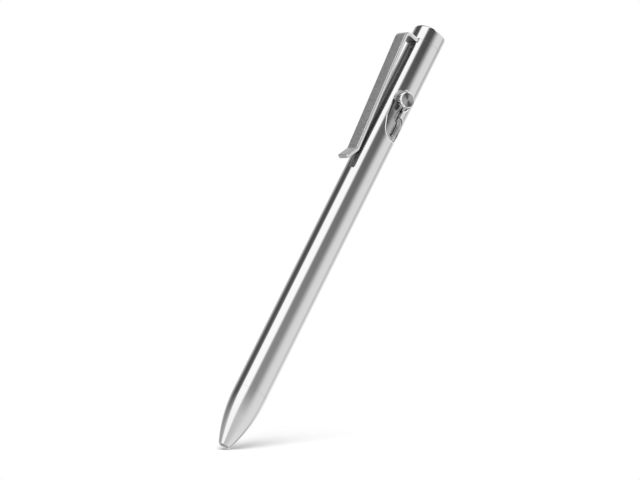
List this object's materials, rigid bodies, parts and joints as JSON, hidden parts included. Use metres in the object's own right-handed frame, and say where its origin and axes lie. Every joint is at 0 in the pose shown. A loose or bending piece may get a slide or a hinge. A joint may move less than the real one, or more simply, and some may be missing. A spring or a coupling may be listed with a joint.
{
  "type": "bolt action pen",
  "caption": "Slim all-metal pen: straight polished barrel with flush end cap, long spring clip, tapered nose and a round side knob in a J-shaped slot that pushes out and locks the refill.",
  "frame": {"origin": "middle of the bounding box on the table, z = 0: the pen lies on its barrel and on the lower outer corner of its clip", "axes": "+X along the pen towards the writing end; the clip points to -Y and slightly down, the knob up and slightly to -Y"},
  "size_m": [0.1396, 0.0142, 0.0119],
  "materials": {
    "barrel_steel": "polished stainless steel",
    "cap_steel": "polished stainless steel",
    "clip_steel": "satin spring steel",
    "knob_steel": "turned satin face",
    "carrier_steel": "turned satin",
    "nose_steel": "polished stainless steel",
    "ring_rubber": "matt black",
    "tube_steel": "drawn tube",
    "plug_plastic": "off-white moulded",
    "point_brass": "turned",
    "ball_carbide": "ground carbide",
    "ink": "black paste ink",
    "follower_grease": "pale grease",
    "spring_steel": "drawn wire"
  },
  "bodies": {
    "barrel_body": {"barrel": "barrel_steel", "end_cap": "cap_steel"},
    "clip": {"pocket_clip": "clip_steel"},
    "refill": {"refill_tube": "tube_steel", "refill_plug": "plug_plastic", "refill_point": "point_brass", "refill_ball": "ball_carbide", "refill_ink": "ink", "refill_follower": "follower_grease", "return_spring": "spring_steel"},
    "bolt": {"bolt_carrier": "carrier_steel", "bolt_knob": "knob_steel"},
    "nose_ring": {"nose_oring": "ring_rubber"},
    "nose": {"nose_cone": "nose_steel"}
  },
  "joints": [
    {"name": "bolt_slide", "type": "slide", "parent": "barrel_body", "child": "refill", "axis": [1, 0, 0], "range_m": [0, 0.0098], "stiffness_N_per_m": 250, "springref_m": -0.004, "deforming": ["return_spring"]},
    {"name": "bolt_turn", "type": "hinge", "parent": "refill", "child": "bolt", "pos_m": [-0.04535, 0.00231, 0.00483], "axis": [-1, 0, 0], "range_deg": [0, 25]},
    {"name": "clip_flex", "type": "hinge", "parent": "barrel_body", "child": "clip", "pos_m": [-0.0643, -0.00232, 0.00348], "axis": [0, 0.278, -0.9606], "range_deg": [0, 3], "stiffness_Nm_per_rad": 7.3, "springref_deg": -0.57},
    {"name": "nose_slide", "type": "slide", "parent": "barrel_body", "child": "nose_ring", "axis": [1, 0, 0], "range_m": [0, 0.006]},
    {"name": "nose_turn", "type": "hinge", "parent": "nose_ring", "child": "nose", "pos_m": [0.0527, 0.00231, 0.00483], "axis": [1, 0, 0], "range_deg": [0, 2880]}
  ],
  "couplings": [
    {"joint": "nose_turn", "follows": "nose_slide", "rad_per_m": 8377.5}
  ]
}
